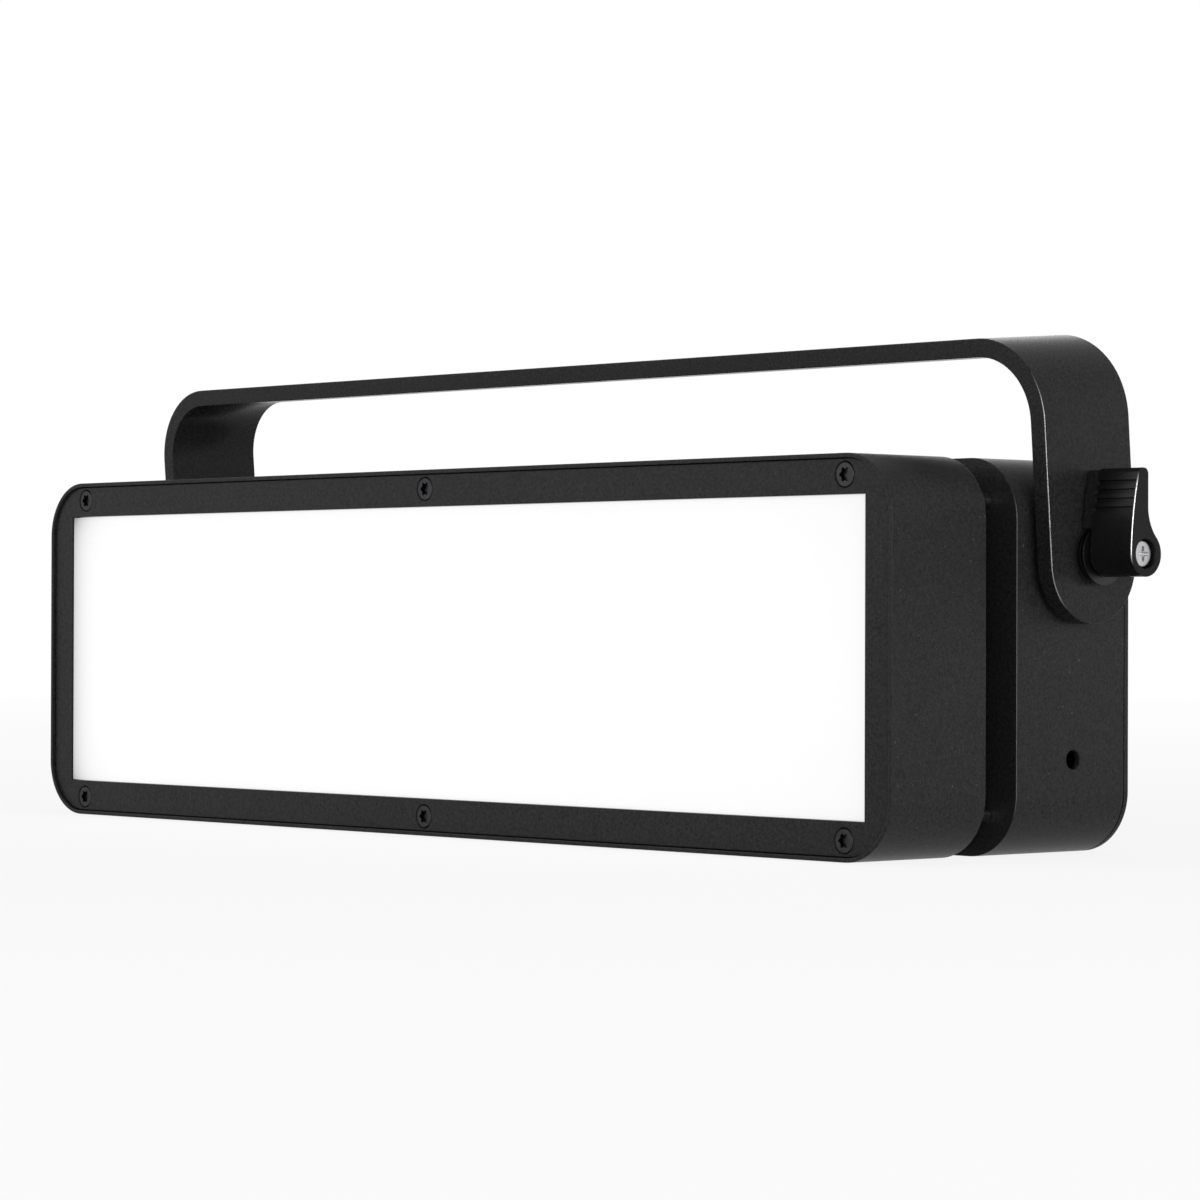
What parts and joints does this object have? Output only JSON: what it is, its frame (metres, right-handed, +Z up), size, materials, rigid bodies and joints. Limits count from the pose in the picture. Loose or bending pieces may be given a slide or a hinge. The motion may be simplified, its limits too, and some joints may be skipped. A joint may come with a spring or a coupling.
{
  "type": "led soft light panel",
  "caption": "Slim stage soft light: shallow lamp box with an opal window on a rear box of the same outline, held by a bent bar yoke with clamp levers.",
  "frame": {"origin": "on the flat underside of the rear box, straight below the yoke's pivot axis, midway between the sides", "axes": "+X along the head's length to the right seen from the front, -Y the way the lamp shines, +Z up"},
  "size_m": [0.5102, 0.1226, 0.1668],
  "materials": {
    "black_case": "fine textured black powder coat on aluminium sheet",
    "black_bar": "satin black powder coat",
    "opal": "opal white diffuser",
    "white_reflector": "matt white",
    "board": "solder mask",
    "aluminium": "mill finish",
    "black_steel": "black oxide",
    "steel": "bright zinc",
    "black_plastic": "satin moulded nylon",
    "lead_rubber": "smooth jacket",
    "smoked_window": "smoked acrylic"
  },
  "bodies": {
    "head": {"front_housing": "black_case", "front_bezel": "black_case", "diffuser": "opal", "reflector_frame": "white_reflector", "led_board": "board", "heat_sink": "aluminium", "bezel_screw_1": "black_steel", "bezel_screw_2": "black_steel", "bezel_screw_3": "black_steel", "bezel_screw_4": "black_steel", "bezel_screw_5": "black_steel", "bezel_screw_6": "black_steel", "standoff_1": "black_steel", "standoff_2": "black_steel", "standoff_3": "black_steel", "standoff_4": "black_steel", "link_conduit": "black_plastic", "led_lead": "lead_rubber", "rear_housing": "black_case", "rear_cover": "black_case", "cover_screw_1": "black_steel", "cover_screw_2": "black_steel", "cover_screw_3": "black_steel", "cover_screw_4": "black_steel", "cover_screw_5": "black_steel", "cover_screw_6": "black_steel", "power_supply": "aluminium", "driver_board": "board", "control_board": "board", "pivot_bush_right": "black_steel", "pivot_bush_left": "black_steel", "lower_bush_right": "black_steel", "lower_bush_left": "black_steel", "side_washer_right": "black_plastic", "side_washer_left": "black_plastic", "power_inlet": "black_plastic", "switch_frame": "black_plastic", "data_in": "black_plastic", "data_out": "black_plastic", "display_window": "smoked_window"},
    "yoke": {"yoke": "black_bar"},
    "right_clamp": {"plain_washer_right": "black_steel", "clamp_stud_right": "black_steel", "lever_screw_right": "steel", "lever_spring_right": "steel"},
    "right_lever": {"clamp_lever_right": "black_plastic"},
    "left_clamp": {"plain_washer_left": "black_steel", "clamp_stud_left": "black_steel", "lever_screw_left": "steel", "lever_spring_left": "steel"},
    "left_lever": {"clamp_lever_left": "black_plastic"},
    "menu_button_1": {"menu_button_1": "black_plastic"},
    "menu_button_2": {"menu_button_2": "black_plastic"},
    "menu_button_3": {"menu_button_3": "black_plastic"},
    "menu_button_4": {"menu_button_4": "black_plastic"},
    "dimmer_knob": {"dimmer_knob": "black_plastic"},
    "switch_rocker": {"switch_rocker": "black_plastic"}
  },
  "joints": [
    {"name": "yoke_swing", "type": "hinge", "parent": "head", "child": "yoke", "pos_m": [0, 0, 0.0955], "axis": [1, 0, 0], "range_deg": [-130, 38]},
    {"name": "right_clamp_turn", "type": "hinge", "parent": "head", "child": "right_clamp", "pos_m": [0.2335, 0, 0.0955], "axis": [1, 0, 0], "range_deg": [0, 180]},
    {"name": "right_lever_pull", "type": "slide", "parent": "right_clamp", "child": "right_lever", "axis": [1, 0, 0], "range_m": [0, 0.003], "stiffness_N_per_m": 500, "springref_m": -0.003, "deforming": ["lever_spring_right"]},
    {"name": "left_clamp_turn", "type": "hinge", "parent": "head", "child": "left_clamp", "pos_m": [-0.2335, 0, 0.0955], "axis": [-1, 0, 0], "range_deg": [0, 180]},
    {"name": "left_lever_pull", "type": "slide", "parent": "left_clamp", "child": "left_lever", "axis": [-1, 0, 0], "range_m": [0, 0.003], "stiffness_N_per_m": 500, "springref_m": -0.003, "deforming": ["lever_spring_left"]},
    {"name": "button_1_press", "type": "slide", "parent": "head", "child": "menu_button_1", "axis": [0, -1, 0], "range_m": [0, 0.001], "stiffness_N_per_m": 800, "springref_m": -0.0005},
    {"name": "button_2_press", "type": "slide", "parent": "head", "child": "menu_button_2", "axis": [0, -1, 0], "range_m": [0, 0.001], "stiffness_N_per_m": 800, "springref_m": -0.0005},
    {"name": "button_3_press", "type": "slide", "parent": "head", "child": "menu_button_3", "axis": [0, -1, 0], "range_m": [0, 0.001], "stiffness_N_per_m": 800, "springref_m": -0.0005},
    {"name": "button_4_press", "type": "slide", "parent": "head", "child": "menu_button_4", "axis": [0, -1, 0], "range_m": [0, 0.001], "stiffness_N_per_m": 800, "springref_m": -0.0005},
    {"name": "dimmer_turn", "type": "hinge", "parent": "head", "child": "dimmer_knob", "pos_m": [0.07, 0.0265, 0.076], "axis": [0, 1, 0], "continuous": true},
    {"name": "switch_tip", "type": "hinge", "parent": "head", "child": "switch_rocker", "pos_m": [-0.112, 0.0281, 0.076], "axis": [1, 0, 0], "range_deg": [0, 20]}
  ]
}
